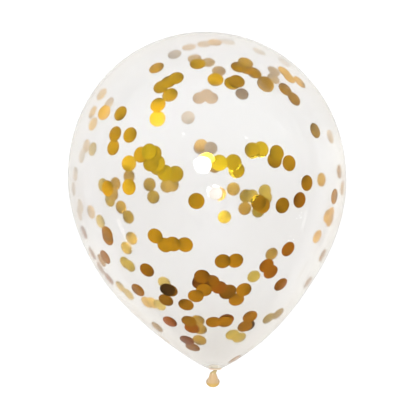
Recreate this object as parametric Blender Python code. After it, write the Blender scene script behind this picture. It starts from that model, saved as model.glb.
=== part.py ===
# A clear latex party balloon, blown up and tied in its own neck, lying on its side.
# Metres, +Z up. The crown points to +Y, the knot and the lip point to -Y, and the floor is Z = 0.
# The origin is the middle of the small flat spot that the balloon lies on, under its widest girth.
import math

import bmesh
import bpy
from mathutils import Matrix, Vector

# Blown body, measured from its widest girth
BODY_WIDTH = 0.280
CROWN_LENGTH = 0.1488  # to the top of the crown
CONE_LENGTH = 0.1924  # to the point where the cone would close if it weren't tied
CROWN_FULLNESS = 2.09  # 2 is an ellipse, and more is squarer
CONE_FULLNESS = 1.91
CONE_TAPER = 0.820
FLAT_SPOT_DIAMETER = 0.056  # the skin flattened against the floor

# Blown rubber isn't quite straight: the middle line runs askew, and the lower cone leans more
BODY_SKEW = 0.0127  # sideways for each metre along
CONE_LEAN = 0.0050
LEAN_START = 0.098  # from the widest girth
LEAN_END = 0.174

# Knot tied in the neck: one loop round the neck and a band that crosses it
KNOT_DIAMETER = 0.0144
STRAND_DIAMETER = 0.0042
KNOT_SEAT = 0.0009  # how far up the cone the loop is pressed
LOOP_TILT = math.radians(8.0)
BAND_TILT = math.radians(38.0)
BAND_SWEEP = math.radians(215.0)
BAND_START = math.radians(-20.0)

# Neck squeezed by the knot, and the tail below it that ends in the rolled lip
WAIST_DIAMETER = 0.0032
WAIST_BELOW_KNOT = 0.0030  # from the knot's middle
TAIL_LENGTH = 0.0126
TAIL_DROOP = math.radians(40.0)
TAIL_SHIFT = 0.0017  # how far it kinks sideways below the waist
TAIL_SHIFT_LENGTH = 0.0045
TAIL_FLARE = 0.70  # 1 is a straight cone, and less is a bell with a shoulder
TAIL_WALL = 0.00035
TAIL_FOLD = 0.05  # how far the wall waves in and out, as a share of its radius
TAIL_FOLDS = 3
LIP_DIAMETER = 0.0138
LIP_BEAD_DIAMETER = 0.0018

# Faces
BODY_SIDES = 72
CROWN_RINGS = 17
CONE_RINGS = 22
TAIL_SIDES = 32
TAIL_RINGS = 9
BEAD_STEPS = 7
STRAND_SIDES = 12
LOOP_STEPS = 28
BAND_STEPS = 18

LATEX_COLOUR = (0.90, 0.88, 0.85, 1.0)
LATEX_ALPHA = 0.35
LATEX_ROUGHNESS = 0.12

MERGE_DISTANCE = 0.000001

BODY_RADIUS = BODY_WIDTH / 2
STRAND_RADIUS = STRAND_DIAMETER / 2
LOOP_RADIUS = KNOT_DIAMETER / 2 - STRAND_RADIUS
FLAT_SPOT_DEPTH = BODY_RADIUS - math.sqrt(BODY_RADIUS**2 - (FLAT_SPOT_DIAMETER / 2) ** 2)
AXIS_HEIGHT = BODY_RADIUS - FLAT_SPOT_DEPTH


def smooth_step(share):
    share = min(max(share, 0.0), 1.0)
    return share * share * (3 - 2 * share)


def body_radius(place):
    """The body's radius at this distance from the widest girth, crown side negative."""
    if place < 0:
        return BODY_RADIUS * math.sqrt(max(1 - (-place / CROWN_LENGTH) ** CROWN_FULLNESS, 0.0))
    return BODY_RADIUS * (1 - (place / CONE_LENGTH) ** CONE_FULLNESS) ** CONE_TAPER


def cone_place(radius):
    """How far from the widest girth the cone has narrowed to this radius."""
    share = 1 - (radius / BODY_RADIUS) ** (1 / CONE_TAPER)
    return CONE_LENGTH * share ** (1 / CONE_FULLNESS)


CONE_END = cone_place(LOOP_RADIUS)
KNOT_PLACE = CONE_END - KNOT_SEAT
WAIST_PLACE = KNOT_PLACE + WAIST_BELOW_KNOT


def axis_point(place):
    """The middle of the balloon at this distance from the widest girth."""
    lean = CONE_LEAN * smooth_step((place - LEAN_START) / (LEAN_END - LEAN_START))
    return Vector((lean + BODY_SKEW * place, -place, AXIS_HEIGHT))


def body_profile():
    """Radius and place of each ring, from the crown to the end that the knot closes."""
    last_angle = math.asin(CONE_END / CONE_LENGTH)
    crown = [-CROWN_LENGTH * math.cos(math.pi / 2 * i / CROWN_RINGS) for i in range(CROWN_RINGS)]
    cone = [CONE_LENGTH * math.sin(last_angle * i / CONE_RINGS) for i in range(CONE_RINGS)]
    rings = [(body_radius(place), place) for place in crown + cone + [CONE_END]]
    return rings + [(0.0, CONE_END)]


def tail_profile():
    """Radius and distance past the waist of each ring: neck, bell, rolled lip and inner wall."""
    waist = WAIST_DIAMETER / 2
    bead = LIP_BEAD_DIAMETER / 2
    lip = LIP_DIAMETER / 2 - bead
    neck_start = -WAIST_BELOW_KNOT - STRAND_DIAMETER
    shares = [i / TAIL_RINGS for i in range(TAIL_RINGS + 1)]
    outside = [(waist + (lip - waist) * share**TAIL_FLARE, TAIL_LENGTH * share) for share in shares]
    turns = [math.pi * (1.5 * i / BEAD_STEPS - 0.25) for i in range(1, BEAD_STEPS)]
    rim = [(lip + bead * math.cos(turn), TAIL_LENGTH + bead * math.sin(turn)) for turn in turns]
    inside = [(radius - TAIL_WALL, along) for radius, along in outside[-2:1:-1]]
    pocket_end = (0.0, outside[1][1])
    return [(0.0, neck_start), (waist, neck_start)] + outside[:-1] + rim + inside + [pocket_end]


def spun(profile, sides):
    """A closed form turned about the Y axis from (radius, place) points that start and end on it."""
    bm = bmesh.new()
    points = [bm.verts.new((radius, -place, 0.0)) for radius, place in profile]
    edges = [bm.edges.new(pair) for pair in zip(points, points[1:])]
    bmesh.ops.spin(
        bm, geom=points + edges, cent=(0, 0, 0), axis=(0, 1, 0), angle=2 * math.pi, steps=sides, use_merge=True
    )
    bmesh.ops.remove_doubles(bm, verts=bm.verts, dist=MERGE_DISTANCE)
    bmesh.ops.dissolve_degenerate(bm, edges=bm.edges, dist=MERGE_DISTANCE)
    bmesh.ops.recalc_face_normals(bm, faces=bm.faces)
    return bm


def made_object(name, bm, material):
    for face in bm.faces:
        face.smooth = True
    mesh = bpy.data.meshes.new(name)
    bm.to_mesh(mesh)
    bm.free()
    mesh.materials.append(material)
    made = bpy.data.objects.new(name, mesh)
    bpy.context.scene.collection.objects.link(made)
    return made


def make_body(material):
    """The blown skin down to the knot, with the spot that it lies on cut flat."""
    bm = spun(body_profile(), BODY_SIDES)
    for vert in bm.verts:
        middle = axis_point(-vert.co.y)
        vert.co.x += middle.x
        vert.co.z += middle.z
    everything = bm.verts[:] + bm.edges[:] + bm.faces[:]
    bmesh.ops.bisect_plane(bm, geom=everything, plane_co=(0, 0, 0), plane_no=(0, 0, 1), clear_inner=True)
    rim = [edge for edge in bm.edges if edge.is_boundary]
    for edge in rim:
        edge.smooth = False
    bmesh.ops.contextual_create(bm, geom=rim)
    bmesh.ops.recalc_face_normals(bm, faces=bm.faces)
    return made_object("balloon", bm, material)


def make_tail(material):
    """The squeezed neck and the bell that droops below the knot to the rolled lip."""
    bm = spun(tail_profile(), TAIL_SIDES)
    bend_radius = TAIL_LENGTH / TAIL_DROOP
    waist = axis_point(WAIST_PLACE)
    for vert in bm.verts:
        across, along, depth = vert.co.x, -vert.co.y, vert.co.z
        share = min(max(along / TAIL_LENGTH, 0.0), 1.0)
        fold = TAIL_FOLD * 4 * share * (1 - share) * math.cos(TAIL_FOLDS * math.atan2(depth, across))
        across *= 1 + fold
        depth *= 1 + fold
        across -= TAIL_SHIFT * smooth_step(along / TAIL_SHIFT_LENGTH)
        angle = TAIL_DROOP * max(along, 0.0) / TAIL_LENGTH
        reach = bend_radius * math.sin(angle) + min(along, 0.0) + depth * math.sin(angle)
        drop = bend_radius * (1 - math.cos(angle)) - depth * math.cos(angle)
        vert.co = waist + Vector((across, -reach, -drop))
    return made_object("tail_form", bm, material)


def make_strand(name, tilt, start, sweep, steps, material):
    """A strand of rubber round the neck, tilted about the X axis. A full turn has no ends."""
    whole = sweep > 2 * math.pi - MERGE_DISTANCE
    bm = bmesh.new()
    section = Matrix.Translation((LOOP_RADIUS, 0, 0))
    bmesh.ops.create_circle(
        bm, cap_ends=not whole, radius=STRAND_RADIUS, segments=STRAND_SIDES, matrix=section
    )
    geometry = bm.verts[:] + bm.edges[:] + bm.faces[:]
    bmesh.ops.spin(
        bm, geom=geometry, cent=(0, 0, 0), axis=(0, 1, 0), angle=sweep, steps=steps, use_merge=whole
    )
    bmesh.ops.recalc_face_normals(bm, faces=bm.faces)
    place = Matrix.Translation(axis_point(KNOT_PLACE)) @ Matrix.Rotation(tilt, 4, "X")
    bm.transform(place @ Matrix.Rotation(start, 4, "Y"))
    return made_object(name, bm, material)


def join_into(body, form):
    """Makes a form one with the body and keeps the form itself out of sight."""
    form.hide_render = True
    form.display_type = "WIRE"
    union = body.modifiers.new("join " + form.name, "BOOLEAN")
    union.operation = "UNION"
    union.solver = "EXACT"
    union.object = form


def latex():
    """Clear rubber film, a little milky, with a glossy skin."""
    material = bpy.data.materials.new("latex")
    material.use_nodes = True
    shader = material.node_tree.nodes["Principled BSDF"]
    shader.inputs["Base Color"].default_value = LATEX_COLOUR
    shader.inputs["Alpha"].default_value = LATEX_ALPHA
    shader.inputs["Roughness"].default_value = LATEX_ROUGHNESS
    shader.inputs["Metallic"].default_value = 0.0
    return material


def main():
    for old in list(bpy.data.objects):
        bpy.data.objects.remove(old)
    material = latex()
    body = make_body(material)
    join_into(body, make_tail(material))
    join_into(body, make_strand("knot_loop_form", LOOP_TILT, 0.0, 2 * math.pi, LOOP_STEPS, material))
    join_into(body, make_strand("knot_band_form", -BAND_TILT, BAND_START, BAND_SWEEP, BAND_STEPS, material))


main()
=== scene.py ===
# A clear party balloon with gold foil confetti sealed in it, lying on its side under the camera.
import math
import random

import bmesh
import bpy
from mathutils import Matrix, Vector


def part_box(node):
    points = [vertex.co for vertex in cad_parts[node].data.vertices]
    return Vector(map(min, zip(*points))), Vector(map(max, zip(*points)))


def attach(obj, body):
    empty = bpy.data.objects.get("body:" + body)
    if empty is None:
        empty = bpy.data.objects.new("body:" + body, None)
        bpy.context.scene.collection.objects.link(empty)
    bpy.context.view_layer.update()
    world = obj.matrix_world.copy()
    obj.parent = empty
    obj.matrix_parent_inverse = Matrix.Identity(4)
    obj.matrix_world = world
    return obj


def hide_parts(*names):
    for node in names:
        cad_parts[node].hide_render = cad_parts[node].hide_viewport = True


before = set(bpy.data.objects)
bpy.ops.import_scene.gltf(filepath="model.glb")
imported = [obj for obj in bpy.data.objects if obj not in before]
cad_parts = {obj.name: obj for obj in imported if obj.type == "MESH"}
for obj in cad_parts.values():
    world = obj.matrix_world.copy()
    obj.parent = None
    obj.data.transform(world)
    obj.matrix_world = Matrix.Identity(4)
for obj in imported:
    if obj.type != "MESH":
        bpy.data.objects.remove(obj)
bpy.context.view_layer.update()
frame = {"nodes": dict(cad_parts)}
print("frame loaded:", ", ".join(frame["nodes"]))

# The camera hangs over the balloon, and a pixel of the photo is turned into a place through it
photo = {
    "width": 416,
    "focal": 1317.6,  # in the photo's pixels
    "distance": 1.33,  # from the balloon's middle line up to the lens
    "lookX": 0.0008,  # the spot that it looks straight down on
    "lookY": -0.0280,
    "filmWidth": 36.0,
    "rayRounds": 40,  # of closing in on the spot where a ray meets the skin
}

# The blown skin, with its widest girth at Y = 0
low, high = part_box("balloon")
skin = {
    "radius": (high.x - low.x) / 2,
    "crownLength": high.y,
    "axisHeight": high.z - (high.x - low.x) / 2,
    "crownFullness": 2.09,  # 2 is an ellipse, and more is fuller
    "coneLength": 0.1924,
    "coneFullness": 1.91,
    "coneTaper": 0.820,
    "coneEnd": 0.1888,  # where the film stops, in the knot
    "skew": 0.0127,  # how much the whole middle line slants
    "lean": 0.0050,  # how far the cone leans to the right, from leanStart to leanEnd
    "leanStart": 0.098,
    "leanEnd": 0.174,
    "wall": 0.0003,
    "flat": 0.00005,  # how much of the underside rests flat
    "lopside": 0.0027,  # how far the underside hangs to the right
    "sides": 208,
    "crownRings": 52,
    "coneRings": 80,
    "slopeStep": 0.0005,  # to either side, to measure the slope
    "touch": 0.000001,  # points this close are one
}
# its weight settles the lower half a little, so that it ends on the floor
skin["settle"] = (skin["axisHeight"] + skin["flat"]) / skin["radius"]


def smoothStep(share):
    share = min(max(share, 0.0), 1.0)
    return share * share * (3 - 2 * share)


def skinRadius(place):
    if place < 0:
        share = min(-place / skin["crownLength"], 1.0)
        return skin["radius"] * math.sqrt(1 - share ** skin["crownFullness"])
    share = min(place / skin["coneLength"], 1.0)
    return skin["radius"] * (1 - share ** skin["coneFullness"]) ** skin["coneTaper"]


def skinMiddle(place, height=0.0):
    run = (place - skin["leanStart"]) / (skin["leanEnd"] - skin["leanStart"])
    lopside = skin["lopside"] * max(-height, 0.0) / skin["radius"]
    return skin["skew"] * place + skin["lean"] * smoothStep(run) + lopside


def skinSpot(pixelX, pixelY, far):
    # where the camera's ray through a pixel meets the skin, and which way out is
    half = photo["width"] / 2
    across = (pixelX - half) / photo["focal"]
    along = (half - pixelY) / photo["focal"]
    side = -skin["settle"] if far else 1.0
    z = 0.0
    for _ in range(photo["rayRounds"]):
        depth = photo["distance"] - z
        x = photo["lookX"] + across * depth
        y = photo["lookY"] + along * depth
        reach = skinRadius(-y)
        z = side * math.sqrt(max(reach**2 - (x - skinMiddle(-y, z)) ** 2, 0.0))
    step = skin["slopeStep"]
    slope = (skinRadius(-y + step) - skinRadius(-y - step)) / (2 * step)
    outward = Vector(((x - skinMiddle(-y, z)) / reach, slope, z / reach / side**2)).normalized()
    return Vector((x, y, skin["axisHeight"] + z)), outward


class Wire:
    # one output socket of a material's nodes, with the sums that shading needs
    def __init__(self, tree, socket=None):
        self.tree = tree
        self.socket = socket

    def add(self, kind, settings, values, output=0):
        node = self.tree.nodes.new(kind)
        for name, setting in settings.items():
            setattr(node, name, setting)
        for key, value in values.items():
            if isinstance(value, Wire):
                self.tree.links.new(value.socket, node.inputs[key])
            else:
                node.inputs[key].default_value = value
        return Wire(self.tree, node.outputs[output])

    def sums(self, operation, first, second):
        return self.add("ShaderNodeMath", {"operation": operation}, {0: first, 1: second})

    def __add__(self, other):
        return self.sums("ADD", self, other)

    def __radd__(self, other):
        return self.sums("ADD", other, self)

    def __sub__(self, other):
        return self.sums("SUBTRACT", self, other)

    def __rsub__(self, other):
        return self.sums("SUBTRACT", other, self)

    def __mul__(self, other):
        return self.sums("MULTIPLY", self, other)

    def __rmul__(self, other):
        return self.sums("MULTIPLY", other, self)

    def ramp(self, value, start, end):
        # 0 up to the start and 1 from the end on
        settings = {"interpolation_type": "SMOOTHSTEP"}
        values = {"Value": value, "From Min": start, "From Max": end}
        return self.add("ShaderNodeMapRange", settings, values)

    def blendTo(self, first, second):
        settings = {"data_type": "RGBA"}
        return self.add("ShaderNodeMix", settings, {"Factor": self, 6: first, 7: second}, output=2)

    def feed(self, node, name):
        self.tree.links.new(self.socket, node.inputs[name])


def objectPlace(wire):
    return wire.add("ShaderNodeTexCoord", {}, {}, output="Object")


def axisOf(wire, where, axis):
    return wire.add("ShaderNodeSeparateXYZ", {}, {0: where}, output=axis)


def vectorMath(wire, operation, *vectors, output="Vector"):
    values = dict(enumerate(vectors))
    return wire.add("ShaderNodeVectorMath", {"operation": operation}, values, output=output)


def noise(wire, where, scale, detail):
    return wire.add("ShaderNodeTexNoise", {}, {"Vector": where, "Scale": scale, "Detail": detail})


def addBump(wire, shader, height, strength, depth):
    bump = wire.add("ShaderNodeBump", {}, {"Height": height, "Strength": strength, "Distance": depth})
    bump.feed(shader, "Normal")


def newMaterial(name):
    material = bpy.data.materials.new(name)
    material.use_nodes = True
    return material, material.node_tree.nodes["Principled BSDF"], Wire(material.node_tree)


def setShader(shader, values):
    for name, value in values.items():
        shader.inputs[name].default_value = value


def addPiece(name, bm, material):
    for face in bm.faces:
        face.smooth = True
    mesh = bpy.data.meshes.new(name)
    bm.to_mesh(mesh)
    bm.free()
    mesh.materials.append(material)
    piece = bpy.data.objects.new(name, mesh)
    bpy.context.scene.collection.objects.link(piece)
    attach(piece, "root")
    return piece


def spunForm(profile, sides):
    # a closed form turned about Y from (radius, place) points
    bm = bmesh.new()
    points = [bm.verts.new((radius, -place, 0.0)) for radius, place in profile]
    edges = [bm.edges.new(pair) for pair in zip(points, points[1:])]
    bmesh.ops.spin(
        bm, geom=points + edges, cent=(0, 0, 0), axis=(0, 1, 0),
        angle=2 * math.pi, steps=sides, use_merge=True,
    )
    bmesh.ops.remove_doubles(bm, verts=bm.verts, dist=skin["touch"])
    bmesh.ops.recalc_face_normals(bm, faces=bm.faces)
    return bm


# Clear latex: glass-like film, with a share of milky film in it for the haze
film = {
    "colour": (0.898, 0.892, 0.890, 1.0),
    "crownColour": (0.992, 0.995, 1.0, 1.0),
    "neckColour": (0.842, 0.825, 0.803, 1.0),
    # a lighter tint where the film is seen aslant, most at the upper left: painted light
    "paintedRimLight": (0.975, 0.970, 0.985, 1.0),
    "milky": (0.99, 0.99, 0.985, 1.0),
    "crownFrom": -0.030,
    "crownTo": 0.075,
    "neckFrom": -0.090,
    "neckTo": -0.190,
    "clearSpot": (0.004, -0.029, 0.0),  # the middle of the underside, where it is clearer
    "clearReach": 0.080,
    "clearColour": (0.935, 0.932, 0.930, 1.0),
    "ior": 1.3,
    "roughness": 0.055,
    "haze": 0.018,  # the share of each face that is milky
    "crownHaze": 0.10,  # more, at the crown, where the rubber is thick
    "rimHaze": 0.20,  # and more where it is seen aslant, and most at the upper left, where the extra is painted light
    "rimFrom": 0.15,
    "rimTo": 0.65,
    "paintedLightWay": (-0.45, 1.0, 0.0),
    "rimLow": -0.040,
    "rimHigh": 0.030,
    "rimLeast": 0.06,  # the part of it that is left at the lower right, away from the painted light
    "endHaze": 0.12,  # and where the rubber gathers into the knot
    "endFrom": -0.1835,
    "endTo": -0.1865,
    "mostHaze": 0.235,
}


def filmMaterial():
    material, shader, wire = newMaterial("clearLatex")
    where = objectPlace(wire)
    along = axisOf(wire, where, "Y")
    crown = wire.ramp(along, film["crownFrom"], film["crownTo"])
    neck = wire.ramp(along, film["neckFrom"], film["neckTo"])
    slant = wire.add("ShaderNodeLayerWeight", {}, {}, output="Facing")
    rim = wire.ramp(slant, film["rimFrom"], film["rimTo"])
    tint = neck.blendTo(crown.blendTo(film["colour"], film["crownColour"]), film["neckColour"])
    away = vectorMath(wire, "DISTANCE", where, film["clearSpot"], output="Value")
    tint = wire.ramp(away, 0.0, film["clearReach"]).blendTo(film["clearColour"], tint)
    # the haze at a slant is the film's own; its growth and lighter tint towards the upper left are painted
    # light
    rimAndPaintedLight = vectorMath(wire, "DOT_PRODUCT", where, film["paintedLightWay"], output="Value")
    rimAndPaintedLight = wire.ramp(rimAndPaintedLight, film["rimLow"], film["rimHigh"])
    rimAndPaintedLight = rim * (film["rimLeast"] + rimAndPaintedLight * (1 - film["rimLeast"]))
    tint = rimAndPaintedLight.blendTo(tint, film["paintedRimLight"])
    haze = film["haze"] + crown * film["crownHaze"] + rimAndPaintedLight * film["rimHaze"]
    haze = haze + wire.ramp(along, film["endFrom"], film["endTo"]) * film["endHaze"]
    haze = wire.sums("MINIMUM", haze, film["mostHaze"])
    setShader(shader, {"Roughness": film["roughness"], "IOR": film["ior"], "Transmission Weight": 1.0})
    tint.feed(shader, "Base Color")
    clear = Wire(wire.tree, shader.outputs[0])
    milky = wire.add("ShaderNodeBsdfTranslucent", {}, {"Color": film["milky"]})
    both = wire.add("ShaderNodeMixShader", {}, {0: haze, 1: clear, 2: milky})
    both.feed(wire.tree.nodes["Material Output"], "Surface")
    return material


def makeFilm():
    # the rings lie closer together towards both ends
    rings = skin["crownRings"]
    crown = [-skin["crownLength"] * math.cos(math.pi / 2 * i / rings) for i in range(rings)]
    rings = skin["coneRings"]
    lastAngle = math.asin(skin["coneEnd"] / skin["coneLength"])
    cone = [skin["coneLength"] * math.sin(lastAngle * i / rings) for i in range(rings + 1)]
    profile = [(skinRadius(place), place) for place in crown + cone] + [(0.0, cone[-1])]
    bm = spunForm(profile, skin["sides"])
    for vert in bm.verts:
        if vert.co.z < 0:
            vert.co.z *= skin["settle"]
        vert.co += Vector((skinMiddle(-vert.co.y, vert.co.z), 0.0, skin["axisHeight"]))
    # what would sink into the floor is pressed flat
    everything = bm.verts[:] + bm.edges[:] + bm.faces[:]
    bmesh.ops.bisect_plane(bm, geom=everything, plane_co=(0, 0, 0), plane_no=(0, 0, 1))
    for vert in bm.verts:
        vert.co.z = max(vert.co.z, 0.0)
    piece = addPiece("film", bm, filmMaterial())
    wall = piece.modifiers.new("wall", "SOLIDIFY")
    wall.thickness = skin["wall"]
    wall.offset = -1.0
    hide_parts("balloon")


# Thick unstretched rubber of the knot, the neck and the rolled lip
rubber = {
    "colour": (0.52, 0.345, 0.165, 1.0),
    "paleColour": (0.60, 0.420, 0.235, 1.0),
    "leftLobe": (0.80, 0.60, 0.50, 1.0),
    "rightLobe": (0.72, 0.58, 0.42, 1.0),
    "waistColour": (0.46, 0.36, 0.150, 1.0),
    "lipColour": (0.57, 0.360, 0.085, 1.0),
    "shoulder": (0.93, 0.91, 0.86, 1.0),  # the part of the knot that lies in the film, made pale as painted light
    "paintedGlow": (0.50, 0.48, 0.42, 1.0),  # a painted glow, sent out by the shoulder, for light that comes through it
    "none": (0.0, 0.0, 0.0, 1.0),
    "shoulderEnd": (-0.1892, -0.1886),
    "lobesMeet": (0.003, 0.008),
    "knotEnd": (-0.1920, -0.1910),
    "waist": (-0.1965, -0.1930),
    "lip": (-0.2030, -0.2075),
    "roughness": 0.45,
    "coat": 0.3,
    "coatRoughness": 0.15,
    "mottleScale": 220.0,
    "noiseDetail": 2.0,
    "pleats": 0.25,
    "pleatDepth": 0.0005,
    "pleatScale": 900.0,
    "pleatStretch": (1.0, 0.12, 1.0),  # they run along the neck
}


def rubberMaterial():
    material, shader, wire = newMaterial("amberLatex")
    setShader(shader, {
        "Roughness": rubber["roughness"],
        "Coat Weight": rubber["coat"],
        "Coat Roughness": rubber["coatRoughness"],
        "Emission Strength": 1.0,
    })
    where = objectPlace(wire)
    across = axisOf(wire, where, "X")
    along = axisOf(wire, where, "Y")
    patches = noise(wire, where, rubber["mottleScale"], rubber["noiseDetail"])
    tint = patches.blendTo(rubber["colour"], rubber["paleColour"])
    tint = wire.ramp(along, *rubber["lip"]).blendTo(tint, rubber["lipColour"])
    tint = wire.ramp(along, *rubber["waist"]).blendTo(tint, rubber["waistColour"])
    lobes = wire.ramp(across, *rubber["lobesMeet"]).blendTo(rubber["leftLobe"], rubber["rightLobe"])
    tint = wire.ramp(along, *rubber["knotEnd"]).blendTo(tint, lobes)
    # the shoulder is pale and glows: painted light for what comes through the rubber
    shoulder = wire.ramp(along, *rubber["shoulderEnd"])
    shoulder.blendTo(tint, rubber["shoulder"]).feed(shader, "Base Color")
    shoulder.blendTo(rubber["none"], rubber["paintedGlow"]).feed(shader, "Emission Color")
    stretched = wire.add("ShaderNodeMapping", {}, {"Vector": where, "Scale": rubber["pleatStretch"]})
    folds = noise(wire, stretched, rubber["pleatScale"], rubber["noiseDetail"])
    addBump(wire, shader, folds, rubber["pleats"], rubber["pleatDepth"])
    return material


# The knot is a whole loop of the neck's rubber and a band that crosses it, angles in degrees
knot = {
    "diameter": 0.0142,
    "strand": 0.0033,
    "seat": -0.0003,  # how far it sits up the cone from the film's end
    "aside": 0.0007,
    "loopTilt": 4.0,
    "bandTilt": -10.0,
    "bandStart": -20.0,
    "bandSweep": 215.0,
    "strandSides": 20,
    "steps": 64,
    "voxel": 0.00022,
    "softening": 6,
}


def addStrand(bm, tilt, start, sweep):
    # one turn of rubber round the neck
    whole = sweep == 360.0
    ring = bmesh.ops.create_circle(
        bm, cap_ends=not whole, radius=knot["strand"] / 2, segments=knot["strandSides"],
        matrix=Matrix.Translation((knot["diameter"] / 2 - knot["strand"] / 2, 0, 0)),
    )["verts"]
    geometry = list({part for vert in ring for part in [vert, *vert.link_edges, *vert.link_faces]})
    before = set(bm.verts)
    bmesh.ops.spin(
        bm, geom=geometry, cent=(0, 0, 0), axis=(0, 1, 0),
        angle=math.radians(sweep), steps=knot["steps"], use_merge=whole,
    )
    made = [vert for vert in bm.verts if vert not in before] + [vert for vert in ring if vert.is_valid]
    place = skin["coneEnd"] - knot["seat"]
    middle = Matrix.Translation((skinMiddle(place) + knot["aside"], -place, skin["axisHeight"]))
    turn = Matrix.Rotation(math.radians(tilt), 4, "X") @ Matrix.Rotation(math.radians(start), 4, "Y")
    bmesh.ops.transform(bm, matrix=middle @ turn, verts=made)


def makeKnot(material):
    bm = bmesh.new()
    addStrand(bm, knot["loopTilt"], 0.0, 360.0)
    addStrand(bm, knot["bandTilt"], knot["bandStart"], knot["bandSweep"])
    bmesh.ops.recalc_face_normals(bm, faces=bm.faces)
    piece = addPiece("knot", bm, material)
    fuse = piece.modifiers.new("fuse", "REMESH")
    fuse.mode = "VOXEL"
    fuse.voxel_size = knot["voxel"]
    fuse.use_smooth_shade = True
    soften = piece.modifiers.new("soften", "SMOOTH")
    soften.iterations = knot["softening"]
    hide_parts("balloon")


# The tail is the neck below the knot, which flares out to its rolled lip and droops
tail = {
    "waist": 0.0032,
    "belowKnot": 0.0026,
    "length": 0.0134,
    "droop": 40.0,  # degrees
    "shift": 0.0024,  # to the left, just below the knot
    "shiftLength": 0.0030,
    "flare": 0.70,
    "wall": 0.00035,
    "fold": 0.05,  # how deep its lengthwise folds are, of its radius
    "folds": 3,
    "lip": 0.0138,
    "bead": 0.0018,
    "beadFrom": -0.25,  # in half turns
    "beadSweep": 1.5,
    "beadSides": 12,
    "sides": 64,
    "rings": 24,
}


def makeTail(material):
    waist = tail["waist"] / 2
    bead = tail["bead"] / 2
    lip = tail["lip"] / 2 - bead
    neckStart = -tail["belowKnot"] - knot["strand"] / 2
    shares = [i / tail["rings"] for i in range(tail["rings"] + 1)]
    outside = [(waist + (lip - waist) * share ** tail["flare"], tail["length"] * share) for share in shares]
    steps = range(1, tail["beadSides"])
    turns = [math.pi * (tail["beadSweep"] * i / tail["beadSides"] + tail["beadFrom"]) for i in steps]
    rim = [(lip + bead * math.cos(turn), tail["length"] + bead * math.sin(turn)) for turn in turns]
    # its mouth is open almost down to the knot
    inside = [(radius - tail["wall"], along) for radius, along in outside[-2:1:-1]]
    start = [(0.0, neckStart), (waist, neckStart)]
    bottom = [(0.0, outside[1][1])]
    bm = spunForm(start + outside[:-1] + rim + inside + bottom, tail["sides"])
    place = skin["coneEnd"] - knot["seat"] + tail["belowKnot"]
    middle = Vector((skinMiddle(place) + knot["aside"], -place, skin["axisHeight"]))
    droop = math.radians(tail["droop"])
    bend = tail["length"] / droop
    for vert in bm.verts:
        across, along, depth = vert.co.x, -vert.co.y, vert.co.z
        share = min(max(along / tail["length"], 0.0), 1.0)
        folding = 4 * share * (1 - share) * math.cos(tail["folds"] * math.atan2(depth, across))
        wave = 1 + tail["fold"] * folding
        across *= wave
        depth *= wave
        across -= tail["shift"] * smoothStep(along / tail["shiftLength"])
        angle = droop * max(along, 0.0) / tail["length"]
        reach = bend * math.sin(angle) + min(along, 0.0) + depth * math.sin(angle)
        drop = bend * (1 - math.cos(angle)) - depth * math.cos(angle)
        vert.co = middle + Vector((across, -reach, -drop))
    piece = addPiece("tail", bm, material)
    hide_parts("balloon")


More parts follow.
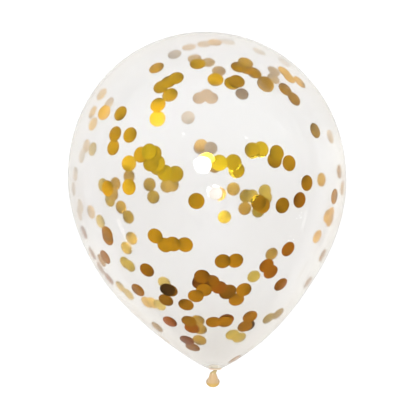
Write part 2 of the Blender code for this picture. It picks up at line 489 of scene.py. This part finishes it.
# Foil dots: the pixel where each one shows, by cluster, and then its look, its lift and its fold. A look is
# a painted tone, brighter or darker for what the dot mirrors.
# Lift is how many degrees a dot turns up to face the camera. A fold is given by the side it is on, as an
# angle in the picture from the right, and by its distance from the dot's middle in radiuses.
# Of two near dots that lie on each other the first shows whole, and of two far ones the second does.
# A dot without a look is gold where it is near and back where it is far.
nearDots = {
    "crown": [
        (156.5, 68, "amber"), (176, 78.3), (168.5, 82), (161, 87), (170, 95, "fair"),
        (158, 105, "golden"), (157.5, 118.7, "sunny", 14), (197.7, 64), (215.5, 79.7, "warm", 4),
        (237, 81.3, "deep"), (232, 83.4), (245.6, 62.5), (238.5, 67.3, "deep"), (246, 69, "russet"),
        (254, 73, "deep"), (264.7, 83.6, "deep", 18), (266.4, 85.2, "warm", 16),
        (285, 89.4, "deep"), (294, 99, "deep"), (315, 130.6, "bronze"), (284.4, 72, "honey"),
        (288.7, 77.5, "honey"), (299.5, 82, "honey"),
    ],
    "left": [
        (120.5, 113.5, "fair"), (104.3, 112.7, "bright", 12), (115.2, 134, "amber"),
        (113.3, 147.5, "warm"), (130, 135, "fair"), (129, 163.4, "sunny", 8), (129, 187, "sunny"),
        (107.7, 188.3, "golden"), (107.3, 233.6, "russet"), (107.9, 238, "russet"),
        (105.3, 257, "russet"), (138, 290, "russet"), (147, 270, "russet"),
    ],
    "leftCluster": [
        (149, 151.5, "olive"), (141, 154.7, "warm"), (154, 153.6, "straw"), (150.6, 163.4, "straw"),
        (157.5, 163.2, "olive"), (157.5, 167, "straw"), (165, 173, "olive"), (175.5, 174, "straw"),
    ],
    "middle": [
        (196.4, 201, "fair"), (206.5, 161, "gold", 4), (219.4, 162.8, "lime", -3),
        (233.4, 162.3, "olive", 0, -37, 0.80), (236.6, 170, "olive", 0, -150, 0.62),
        (155.2, 236, "warm"), (165, 245, "warm"), (173, 244, "warm"), (185, 244.7, "warm"),
        (222.7, 261.2, "fair"), (235.4, 260.6, "warm"),
    ],
    "right": [
        (252.4, 150.4, "olive", 0, -70, 0.78), (261, 149.3, "lime", 0, -88, 0.86),
        (276.8, 153, "straw"), (274.6, 160), (289, 163.2, "fair"), (306.8, 183, "fair"),
        (299.5, 200, "russet"), (282.4, 205.4), (258.6, 202.5, "gold", 0, 138, 0.66),
        (262.6, 205.5, "fair"), (288, 249, "copper"), (334.3, 196.5, "fair"),
        (266.5, 265.7, "copper"), (270.6, 271.8, "copper"), (280.6, 284.4, "russet"),
    ],
    "cone": [
        (167.4, 289.8, "shadow"), (170.2, 290.3, "deep"), (166, 300, "deep"), (186, 304.6, "fair"),
        (195.7, 296, "warm"), (204, 290, "warm"), (202, 276.4, "russet"), (200, 283, "umber"),
        (200.5, 281.5, "shadow"), (211.4, 281.5, "russet"), (219, 287.4, "ruddy"),
        (228.6, 290.8, "deep"), (227, 293, "dark"), (243.8, 289.6, "warm", 4),
        (236.4, 299.4, "warm", 5), (170, 321.5, "brick"), (189, 321), (192, 328, "ruddy"),
        (187, 340, "umber"), (192.7, 347, "deep"), (213.5, 322, "warm"), (225, 321.8, "warm"),
        (226.2, 319.4, "ruddy"), (250, 316.6, "warm", 6), (244.8, 326.2, "fair", 6),
        (247.6, 325.6, "shadow", 6),
    ],
}
farDots = {
    "crown": [
        (174.4, 54.2, "pewter", 8), (189, 47, "pale"), (204, 44, "pale"), (215, 42, "orange", 6),
        (228, 41.7, "faint"), (194.5, 58.5, "tan"), (208, 62.3, "tan"), (218.9, 71, "tan"),
        (199.4, 98, "pale"), (206.4, 94.8, "pale"), (211.3, 98, "pale"), (188, 117.6, "faint", 8),
        (259.4, 51, "faint"), (242, 93.8, "grey"), (274, 71, "tan"), (273.5, 78.6, "tan"),
        (284.4, 62, "faint"),
    ],
    "left": [
        (101.2, 93.8, "apricot", 8), (92.3, 112, "apricot"), (92.8, 124, "apricot", 4),
        (108.8, 103.5, "pale"), (86, 146, "pale"), (92.5, 149, "sand"), (81.7, 156, "faint"),
        (102.8, 185), (115.3, 184, "brass"), (110, 200), (113, 194, "brass"), (129, 176.4, "brass"),
        (149.5, 184.5), (153.3, 197), (166.8, 186, "brass"), (172.3, 185, "brass"),
        (121, 207.3, "brass"), (128.3, 217), (91, 212, "pale"), (100.3, 221.4, "sand"),
        (83.6, 232.6, "dark"), (80, 206, "faint"), (79, 214, "faint"), (75, 174, "faint"),
        (73, 189, "faint"), (131.5, 238.3, "brass"), (126.5, 248, "brass"), (125.2, 262.8),
        (129.6, 265.8), (91.8, 253.7, "dark"), (101.5, 260.5, "tan"), (100.2, 268.4, "shadedTone"),
        (108.8, 279, "dark"), (120.4, 287, "sand"), (128.4, 294.3, "sand"),
    ],
    "middle": [
        (200.2, 147.6, "pewter"), (201.2, 145.6, "apricot"), (210.8, 148.3, "pewter"),
        (214.5, 166.3, "tan"), (219.6, 194, "honey", -4), (215.6, 193.2, "glint", -4),
        (224.5, 217, "lemon"), (233.4, 189, "brass"), (246, 196, "shadedTone"), (251.8, 196),
        (244.8, 208.4, "tan"), (264.8, 191), (258.3, 211, "shadedTone"), (266, 198),
    ],
    "right": [
        (330.5, 136.5, "pale"), (321.5, 179.7, "honey"), (339.7, 171.5, "tan"), (343, 188.3),
        (331, 214, "orange"), (330, 220, "orange"), (327.8, 216.3, "orange", 5),
        (317.3, 236.6, "peach"), (323, 255.5, "shadedTone"), (308.4, 282.6, "shadedTone"),
        (271.6, 254, "tan"), (253.8, 276.4),
    ],
    "cone": [
        (147, 302.3, "apricot"), (152.5, 303, "apricot"), (159.6, 305, "sand"),
        (164.2, 282.6, "sand"), (157, 327.3, "shadedTone"), (164, 338), (197.7, 320.5, "tan"),
        (200, 329, "tan"), (199.5, 340, "tan"), (232.4, 334.6), (239.3, 337.6),
        (268.6, 318.3, "shadedTone"), (278.3, 313.7, "shadedTone"), (235.3, 359.8, "shadedTone"),
    ],
}
dots = {
    "radius": 0.0075,
    "sides": 24,
    "foil": 0.00008,  # its thickness
    "gap": 0.00012,  # to the skin
    "stackGap": 0.00004,  # to a dot that lies there already
    "neighbour": 1.9,  # dots closer together than this, in radiuses, lie on each other
    "leastSlant": 0.45,  # a dot seen flatter than this slides less far along the skin
    "restlessTilt": 0.9,  # degrees
    "curl": 0.00015,
    "crease": 0.12,  # how wide a fold's crease is, of the radius
    # painted shade on a fold's part, which also dims the lamp it mirrors
    "foldShade": 0.07,
    "rimFrom": 0.95,  # of the radius
    # painted shade along one side of the rim, as of a curled edge
    "rimShade": 0.55,
    "leastRimShade": 0.2,
    "paintedSheen": 0.14,  # how much one side is lighter than the other, a painted sheen
    "leastPaintedSheen": 0.3,
    "sharpAngle": 5.0,  # degrees, so that rims and folds stay sharp
    "seed": 15,
}
# Each look of the foil is a colour and how metallic it is, and the finish is the same for all. The looks
# are lit and shaded copies of the one gold foil, a painted reflection of what each dot mirrors; for the far
# dots they are also the paler, less metallic back of the foil
foil = {
    "gold": (0.43, 0.262, 0.012, 1.0),
    "fair": (0.50, 0.300, 0.014, 1.0),
    "amber": (0.48, 0.275, 0.012, 1.0),
    "warm": (0.60, 0.360, 0.018, 1.0),
    "golden": (0.72, 0.430, 0.020, 1.0),
    "bright": (0.84, 0.490, 0.025, 1.0),
    "sunny": (0.76, 0.490, 0.030, 1.0),
    "lime": (0.66, 0.500, 0.020, 1.0),
    "olive": (0.54, 0.385, 0.016, 1.0),
    "straw": (0.48, 0.325, 0.016, 1.0),
    "bronze": (0.36, 0.232, 0.012, 1.0),
    "russet": (0.42, 0.215, 0.010, 1.0),
    "deep": (0.36, 0.200, 0.010, 1.0),
    "dark": (0.27, 0.145, 0.008, 1.0),
    "shadow": (0.09, 0.050, 0.004, 1.0),
    "ruddy": (0.46, 0.195, 0.012, 1.0),
    "brick": (0.42, 0.150, 0.010, 1.0),
    "umber": (0.28, 0.112, 0.008, 1.0),
    "copper": (0.55, 0.270, 0.012, 1.0),
    "back": (0.52, 0.390, 0.090, 1.0),  # the side that looks into the balloon
    "brass": (0.63, 0.455, 0.120, 0.9),
    "sand": (0.72, 0.560, 0.200, 0.7),
    "honey": (0.76, 0.490, 0.110, 0.8),
    "lemon": (0.88, 0.660, 0.070, 0.9),
    "tan": (0.46, 0.290, 0.060, 0.9),
    # a darker, duller tone for far dots, painted shade
    "shadedTone": (0.34, 0.240, 0.030, 1.0),
    "grey": (0.36, 0.270, 0.140, 0.8),
    "pewter": (0.53, 0.430, 0.330, 0.4),
    "peach": (0.98, 0.640, 0.250, 0.5),
    "apricot": (1.0, 0.680, 0.220, 0.6),
    "orange": (1.0, 0.580, 0.120, 0.3),
    "pale": (0.91, 0.710, 0.490, 0.4),
    "faint": (0.96, 0.870, 0.770, 0.3),
    # a white dot, a painted highlight of the key lamp over the dot beneath it
    "glint": (1.0, 1.0, 1.0, 0.3),
    "edgeTint": (0.80, 0.50, 0.05, 1.0),
    "roughness": 0.15,
    "dents": 0.12,
    "dentDepth": 0.001,
    "dentScale": 260.0,
    "dentDetail": 1.0,
}


def foilMaterial():
    material, shader, wire = newMaterial("goldFoil")
    setShader(shader, {"Roughness": foil["roughness"], "Specular Tint": foil["edgeTint"]})
    tint = wire.add("ShaderNodeAttribute", {"attribute_name": "tint"}, {}, output="Color")
    metal = wire.add("ShaderNodeAttribute", {"attribute_name": "tint"}, {}, output="Alpha")
    tint.feed(shader, "Base Color")
    metal.feed(shader, "Metallic")
    dents = noise(wire, objectPlace(wire), foil["dentScale"], foil["dentDetail"])
    addBump(wire, shader, dents, foil["dents"], foil["dentDepth"])
    return material


def dotShape(bm, curl):
    # a disc of facets round its middle, curled a little
    disc = bmesh.ops.create_circle(bm, cap_ends=True, radius=dots["radius"], segments=dots["sides"])
    made = set(disc["verts"])
    made.update(bmesh.ops.poke(bm, faces=disc["verts"][0].link_faces[:])["verts"])
    for vert in made:
        vert.co.z = curl * ((vert.co.x / dots["radius"]) ** 2 - 0.5)
    return made


def foldDot(bm, made, side, foldAt, aim):
    # the part past the fold turns to face the aim, and a crease joins it to the rest
    for share in (foldAt - dots["crease"], foldAt):
        hinge = side * dots["radius"] * share
        parts = list({part for vert in made for part in [vert, *vert.link_edges, *vert.link_faces]})
        cut = bmesh.ops.bisect_plane(bm, geom=parts, plane_co=hinge.to_3d(), plane_no=side.to_3d())
        made.update(part for part in cut["geom_cut"] if isinstance(part, bmesh.types.BMVert))
    folded = {vert for vert in made if (vert.co.xy - hinge).dot(side) > -skin["touch"]}
    for vert in folded:
        vert.co.z = -aim.xy.dot(vert.co.xy - hinge) / aim.z
    return folded


def foldAim(spot, toCamera, turn):
    # the way that a folded part faces, so that it mirrors the key lamp to the camera
    toLamp = Vector(lamps["key"]["way"]).normalized() * lamps["key"]["distance"]
    toLamp += Vector((0, 0, skin["axisHeight"])) - spot
    return turn.transposed() @ (toCamera.normalized() + toLamp.normalized()).normalized()


def paintDot(made, folded, look, tint, draw):
    # lighter on one side by a painted sheen, darker along a part of the rim by painted shade as of a curled
    # edge, and darker where it is folded, painted shade too
    rimShadeSide = draw.uniform(0, 2 * math.pi)
    paintedRimShade = draw.uniform(dots["leastRimShade"], 1.0) * dots["rimShade"]
    paintedSheenSide = draw.uniform(0, 2 * math.pi)
    paintedSheen = draw.uniform(dots["leastPaintedSheen"], 1.0) * dots["paintedSheen"]
    *colour, metal = foil[look]
    for vert in made:
        reach = vert.co.xy.length / dots["radius"]
        angle = math.atan2(vert.co.y, vert.co.x)
        tone = 1 + paintedSheen * reach * math.cos(angle - paintedSheenSide)
        if reach > dots["rimFrom"]:
            tone *= 1 - paintedRimShade * max(math.cos(angle - rimShadeSide), 0.0) ** 2
        if vert in folded:
            tone *= dots["foldShade"]
        vert[tint] = (*(share * tone for share in colour), metal)


def dotInset(spot, outward, made, stir, laid):
    # a flat dot needs more room where the skin bends more, towards the neck
    narrow = min(skinRadius(-spot.y), skinRadius(-spot.y + dots["radius"] / 2))
    bend = narrow / math.sqrt(1 - outward.y**2)
    inset = skin["wall"] + dots["gap"] + dots["radius"] ** 2 / (2 * bend)
    inset += max(vert.co.dot(outward) for vert in made)
    # and it lies further in than the dots that were laid there before it
    for other, otherInset, otherStir in laid:
        if (other - spot).length < dots["neighbour"] * dots["radius"]:
            inset = max(inset, otherInset + otherStir + stir + dots["foil"] + dots["stackGap"])
    laid.append((spot, inset, stir))
    return inset


def addDot(bm, tint, draw, laid, far, pixelX, pixelY, look=None, lift=0.0, fold=None, foldAt=None):
    spot, outward = skinSpot(pixelX, pixelY, far)
    toCamera = Vector((photo["lookX"], photo["lookY"], skin["axisHeight"] + photo["distance"])) - spot
    normal = outward.copy()
    if lift:
        facing = -outward if far else outward
        normal.rotate(Matrix.Rotation(math.radians(lift), 3, facing.cross(toCamera)))
    across = outward.orthogonal().normalized()
    across.rotate(Matrix.Rotation(draw.uniform(0, 2 * math.pi), 3, outward))
    tilt = math.radians(draw.uniform(0, dots["restlessTilt"]))
    normal.rotate(Matrix.Rotation(tilt, 3, across))
    right = (across - normal * across.dot(normal)).normalized()
    turn = Matrix((right, normal.cross(right), normal)).transposed()
    curl = draw.uniform(-1, 1) * dots["curl"]
    made = dotShape(bm, curl)
    folded = set()
    if fold is not None:
        side = turn.transposed() @ Vector((math.cos(math.radians(fold)), math.sin(math.radians(fold)), 0))
        folded = foldDot(bm, made, side.xy.normalized(), foldAt, foldAim(spot, toCamera, turn))
    paintDot(made, folded, look or ("back" if far else "gold"), tint, draw)
    for vert in made:
        vert.co = turn @ vert.co
    stir = abs(curl) / 2 + dots["radius"] * math.sin(tilt)
    inset = dotInset(spot, outward, made, stir, laid)
    # it slides along the skin a little, so that it still shows at its pixel
    ray = toCamera.normalized()
    slant = ray.dot(outward)
    slide = (outward - ray / slant) * inset * min(abs(slant) / dots["leastSlant"], 1.0)
    bmesh.ops.translate(bm, verts=list(made), vec=spot - outward * inset + slide)


def makeDots(name, clusters, far, material, draw):
    bm = bmesh.new()
    tint = bm.verts.layers.float_color.new("tint")
    laid = []
    for cluster in clusters.values():
        for entry in cluster:
            addDot(bm, tint, draw, laid, far, *entry)
    bmesh.ops.solidify(bm, geom=bm.faces[:], thickness=dots["foil"])
    piece = addPiece(name, bm, material)
    piece.data.set_sharp_from_angle(angle=math.radians(dots["sharpAngle"]))


# The floor is a white panel, in a warm room that shows only as mirrored by the foil and the far film
studio = {
    "floorSize": 8.0,
    "floorDrop": 0.0004,
    "floorColour": (0.10, 0.10, 0.10, 1.0),
    "floorRoughness": 0.9,
    "white": (0.99, 0.99, 0.99, 1.0),
    "panelRadius": 0.32,
    "panelEnd": 0.55,
    "panelMirrored": (1.32, 1.24, 1.00, 1.0),
    "brightWay": (-0.40, 0.77, 0.50),  # where the room is brightest
    "brightSide": (1.38, 1.31, 0.82, 1.0),
    "dimSide": (0.80, 0.48, 0.27, 1.0),
    "patches": 0.30,
    "patchScale": 2.2,
    "patchDetail": 1.0,
    "glowWay": (-0.10, 0.50, 0.86),
    "glowFrom": 0.87,
    "glowTo": 0.995,
    "glow": (2.1, 2.0, 1.9, 1.0),
    "glossDim": (0.22, 0.21, 0.18, 1.0),  # what the near film mirrors away from the panel
    "glossRadius": 0.60,  # up to here it mirrors white, and fades from here
    "glossEnd": 2.20,
    "glossFrom": -0.35,  # and it is dim past the neck
    "glossTo": -0.75,
    "backdrop": (1.01, 1.01, 1.01, 1.0),
    "nearFaces": 2.5,  # what is seen through the near film alone has passed two faces
}


# The key lamp overhead, two small lamps towards the crown and two strips low at the sides
lamps = {
    "key": {
        "shape": "ELLIPSE", "way": (-0.055, 0.145, 0.988), "distance": 1.9,
        "size": (0.43, 0.34), "roll": -21, "radiance": 58,
    },
    "leftLamp": {
        "shape": "ELLIPSE", "way": (-0.297, 0.475, 0.829), "distance": 2.0,
        "size": (0.08, 0.08), "roll": 0, "radiance": 6,
    },
    "rightLamp": {
        "shape": "ELLIPSE", "way": (0.490, 0.434, 0.755), "distance": 2.0,
        "size": (0.08, 0.08), "roll": 0, "radiance": 6,
    },
    "rightStrip": {
        "shape": "RECTANGLE", "way": (0.938, -0.347, 0.010), "distance": 2.0,
        "size": (0.32, 0.12), "roll": 14, "radiance": 1.5,
    },
    "leftStrip": {
        "shape": "RECTANGLE", "way": (-0.860, -0.495, 0.120), "distance": 2.0,
        "size": (0.50, 0.13), "roll": -3, "radiance": 2.6,
    },
}
# How light is followed through film behind film
lightPaths = {
    "transparent_max_bounces": 32,
    "max_bounces": 16,
    "transmission_bounces": 16,
    "sample_clamp_indirect": 0.0,
}


def mirrored(wire):
    # 1 for what is seen in a reflection, 0 for what is seen straight or through the film
    depth = wire.add("ShaderNodeLightPath", {}, {}, output="Glossy Depth")
    return wire.sums("MINIMUM", depth, 1.0)


def mirroredInside(wire):
    # 1 for what has been inside the balloon and come out, 0 for what the near film itself mirrors
    faces = wire.add("ShaderNodeLightPath", {}, {}, output="Transmission Depth")
    return wire.sums("GREATER_THAN", faces, studio["nearFaces"])


def roomTone(wire, way):
    # its two sides fade into each other in soft patches, and it glows high up
    patches = noise(wire, way, studio["patchScale"], studio["patchDetail"])
    share = vectorMath(wire, "DOT_PRODUCT", way, studio["brightWay"], output="Value")
    share = share * 0.5 + 0.5 + (patches - 0.5) * studio["patches"]
    glow = vectorMath(wire, "DOT_PRODUCT", way, studio["glowWay"], output="Value")
    glow = wire.ramp(glow, studio["glowFrom"], studio["glowTo"])
    return glow.blendTo(share.blendTo(studio["dimSide"], studio["brightSide"]), studio["glow"])


def makeFloor():
    bm = bmesh.new()
    bmesh.ops.create_grid(bm, x_segments=1, y_segments=1, size=studio["floorSize"] / 2)
    bmesh.ops.translate(bm, verts=bm.verts, vec=(0, 0, -studio["floorDrop"]))
    mesh = bpy.data.meshes.new("floor")
    bm.to_mesh(mesh)
    bm.free()
    floor = bpy.data.objects.new("floor", mesh)
    bpy.context.scene.collection.objects.link(floor)
    material, shader, wire = newMaterial("paleFloor")
    setShader(shader, {
        "Base Color": studio["floorColour"],
        "Roughness": studio["floorRoughness"],
        "Emission Strength": 1.0,
    })
    where = objectPlace(wire)
    away = vectorMath(wire, "LENGTH", where, output="Value")
    past = wire.ramp(away, studio["panelRadius"], studio["panelEnd"])
    way = vectorMath(wire, "NORMALIZE", vectorMath(wire, "SUBTRACT", where, (0, 0, skin["axisHeight"])))
    seen = past.blendTo(studio["panelMirrored"], roomTone(wire, way))
    pastNeck = wire.ramp(axisOf(wire, where, "Y"), studio["glossFrom"], studio["glossTo"])
    gloss = wire.sums("MAXIMUM", wire.ramp(away, studio["glossRadius"], studio["glossEnd"]), pastNeck)
    gloss = gloss.blendTo(studio["white"], studio["glossDim"])
    seen = mirroredInside(wire).blendTo(gloss, seen)
    mirrored(wire).blendTo(studio["white"], seen).feed(shader, "Emission Color")
    material.cycles.emission_sampling = "NONE"
    mesh.materials.append(material)


def makeRoom():
    world = bpy.data.worlds.new("room")
    bpy.context.scene.world = world
    world.use_nodes = True
    wire = Wire(world.node_tree)
    way = wire.add("ShaderNodeTexCoord", {}, {}, output="Generated")
    way = vectorMath(wire, "NORMALIZE", way)
    seen = mirroredInside(wire).blendTo(studio["glossDim"], roomTone(wire, way))
    mirrored(wire).blendTo(studio["backdrop"], seen).feed(world.node_tree.nodes["Background"], "Color")
    world.cycles.sampling_method = "NONE"


def makeLights():
    for name, lamp in lamps.items():
        data = bpy.data.lights.new(name, "AREA")
        data.shape = lamp["shape"]
        data.size, data.size_y = lamp["size"]
        area = lamp["size"][0] * lamp["size"][1]
        if lamp["shape"] == "ELLIPSE":
            area *= math.pi / 4
        data.energy = lamp["radiance"] * math.pi * area
        light = bpy.data.objects.new(name, data)
        way = Vector(lamp["way"]).normalized()
        light.location = Vector((0, 0, skin["axisHeight"])) + way * lamp["distance"]
        roll = Matrix.Rotation(math.radians(lamp["roll"]), 3, way)
        light.rotation_euler = (roll @ way.to_track_quat("Z", "Y").to_matrix()).to_euler()
        light.visible_camera = False
        bpy.context.scene.collection.objects.link(light)


def makeCamera():
    data = bpy.data.cameras.new("camera")
    data.sensor_width = photo["filmWidth"]
    data.lens = photo["focal"] * photo["filmWidth"] / photo["width"]
    camera = bpy.data.objects.new("camera", data)
    camera.location = (photo["lookX"], photo["lookY"], skin["axisHeight"] + photo["distance"])
    bpy.context.scene.collection.objects.link(camera)
    bpy.context.scene.camera = camera


makeCamera()
makeFilm()
amber = rubberMaterial()
makeKnot(amber)
makeTail(amber)
print("skin, knot and tail made")
draw = random.Random(dots["seed"])
gold = foilMaterial()
makeDots("confettiNear", nearDots, False, gold, draw)
makeDots("confettiFar", farDots, True, gold, draw)
print("confetti laid")
makeFloor()
makeRoom()
makeLights()
bpy.context.scene.view_settings.view_transform = "Standard"
for name, value in lightPaths.items():
    setattr(bpy.context.scene.cycles, name, value)
print("studio lit")
